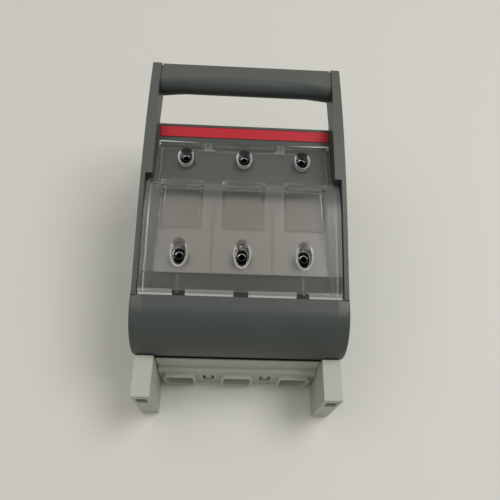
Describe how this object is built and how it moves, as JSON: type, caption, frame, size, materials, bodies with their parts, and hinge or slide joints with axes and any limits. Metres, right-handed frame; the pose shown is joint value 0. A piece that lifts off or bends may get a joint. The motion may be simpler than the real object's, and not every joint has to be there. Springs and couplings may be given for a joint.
{
  "type": "fuse switch disconnector",
  "caption": "Low-voltage fuse switch disconnector with a hinged handle unit, clear cover, fuse carriers and shrouded cable terminals.",
  "frame": {"origin": "centre of the bounding box on the mounting face", "axes": "+Y along the device from the lower terminals to the grip, +Z out of the mounting face to the front"},
  "size_m": [0.1072, 0.1774, 0.0884],
  "materials": {
    "light_grey_plastic": "moulded",
    "dark_grey_plastic": "moulded",
    "carrier_plastic": "moulded",
    "clear_plastic": "clear",
    "red_strip": "smooth",
    "tinned_copper": "tinned",
    "zinc_steel": "zinc plated"
  },
  "bodies": {
    "base": {"base_housing": "light_grey_plastic", "lower_terminal_cover": "light_grey_plastic", "upper_terminal_cover": "light_grey_plastic", "contact_shroud_lower": "light_grey_plastic", "contact_shroud_upper": "light_grey_plastic", "contact_lower_1": "tinned_copper", "contact_lower_2": "tinned_copper", "contact_lower_3": "tinned_copper", "contact_upper_1": "tinned_copper", "contact_upper_2": "tinned_copper", "contact_upper_3": "tinned_copper", "jaw_spring_lower_1": "zinc_steel", "jaw_spring_lower_2": "zinc_steel", "jaw_spring_lower_3": "zinc_steel", "jaw_spring_upper_1": "zinc_steel", "jaw_spring_upper_2": "zinc_steel", "jaw_spring_upper_3": "zinc_steel", "terminal_bolt_lower_1": "zinc_steel", "terminal_bolt_lower_2": "zinc_steel", "terminal_bolt_lower_3": "zinc_steel", "terminal_bolt_upper_1": "zinc_steel", "terminal_bolt_upper_2": "zinc_steel", "terminal_bolt_upper_3": "zinc_steel", "terminal_nut_lower_1": "zinc_steel", "terminal_nut_lower_2": "zinc_steel", "terminal_nut_lower_3": "zinc_steel", "terminal_nut_upper_1": "zinc_steel", "terminal_nut_upper_2": "zinc_steel", "terminal_nut_upper_3": "zinc_steel", "hinge_pin_left": "zinc_steel", "hinge_pin_right": "zinc_steel"},
    "handle_unit": {"handle_frame": "dark_grey_plastic", "label_strip": "red_strip", "clear_cover": "clear_plastic", "fuse_carrier_1": "carrier_plastic", "fuse_carrier_2": "carrier_plastic", "fuse_carrier_3": "carrier_plastic", "probe_tube_lower_1": "zinc_steel", "probe_tube_lower_2": "zinc_steel", "probe_tube_lower_3": "zinc_steel", "probe_tube_upper_1": "zinc_steel", "probe_tube_upper_2": "zinc_steel", "probe_tube_upper_3": "zinc_steel"}
  },
  "joints": [
    {"name": "handle_hinge", "type": "hinge", "parent": "base", "child": "handle_unit", "pos_m": [0, -0.0453, 0.0438], "axis": [1, 0, 0], "range_deg": [0, 85]}
  ]
}
